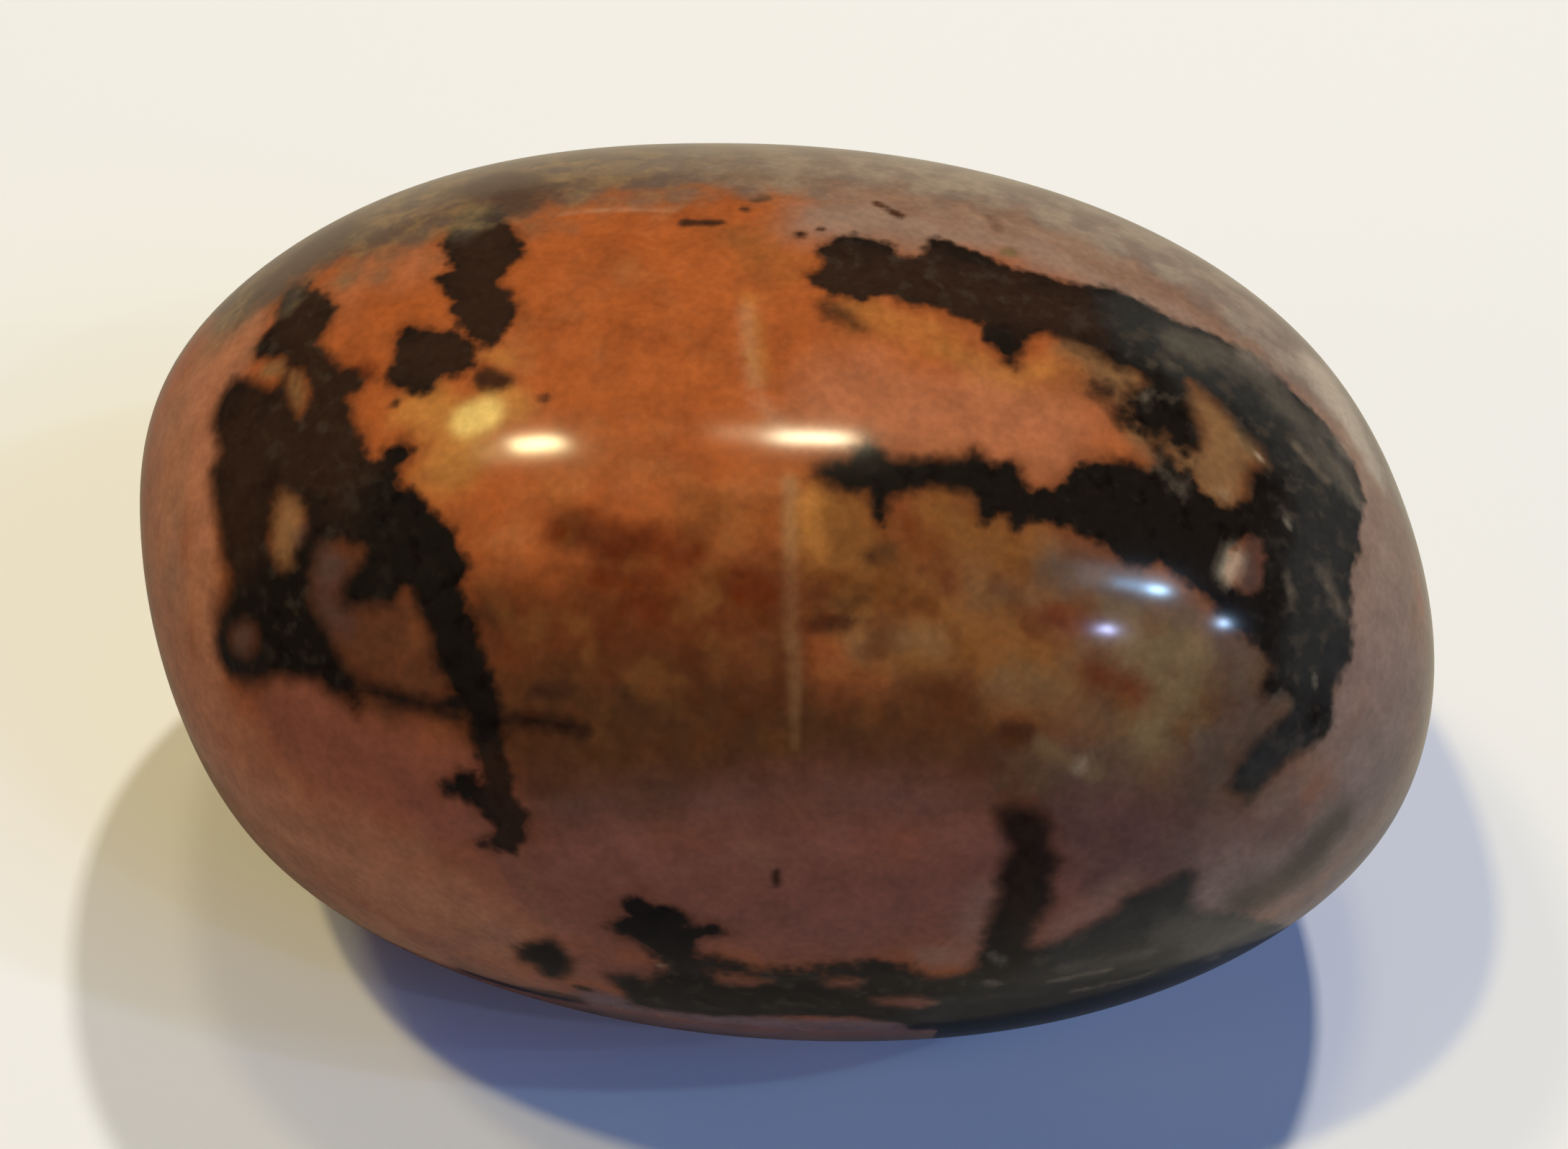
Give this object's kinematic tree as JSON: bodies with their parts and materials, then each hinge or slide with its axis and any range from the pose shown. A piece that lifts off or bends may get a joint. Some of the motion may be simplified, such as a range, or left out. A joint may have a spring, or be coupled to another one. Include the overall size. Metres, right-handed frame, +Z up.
{
  "type": "polished rhodonite stone",
  "caption": "Fat rounded polished stone, orange-brown to rose-pink with branching black veins, lying on a small flat spot on its underside.",
  "frame": {"origin": "on the surface that the stone rests on, under the middle of the stone's outer box", "axes": "+X along the longest extent, +Z up from the flat spot, -Y towards the side that the picture shows lowest"},
  "size_m": [0.0574, 0.04, 0.0362],
  "materials": {
    "polished_rhodonite": "glassy polish over orange-brown and mauve-pink manganese silicate, cut by near-black manganese oxide veins with grey-green mottles"
  },
  "bodies": {
    "root": {"rhodonite_stone": "polished_rhodonite"}
  },
  "joints": []
}
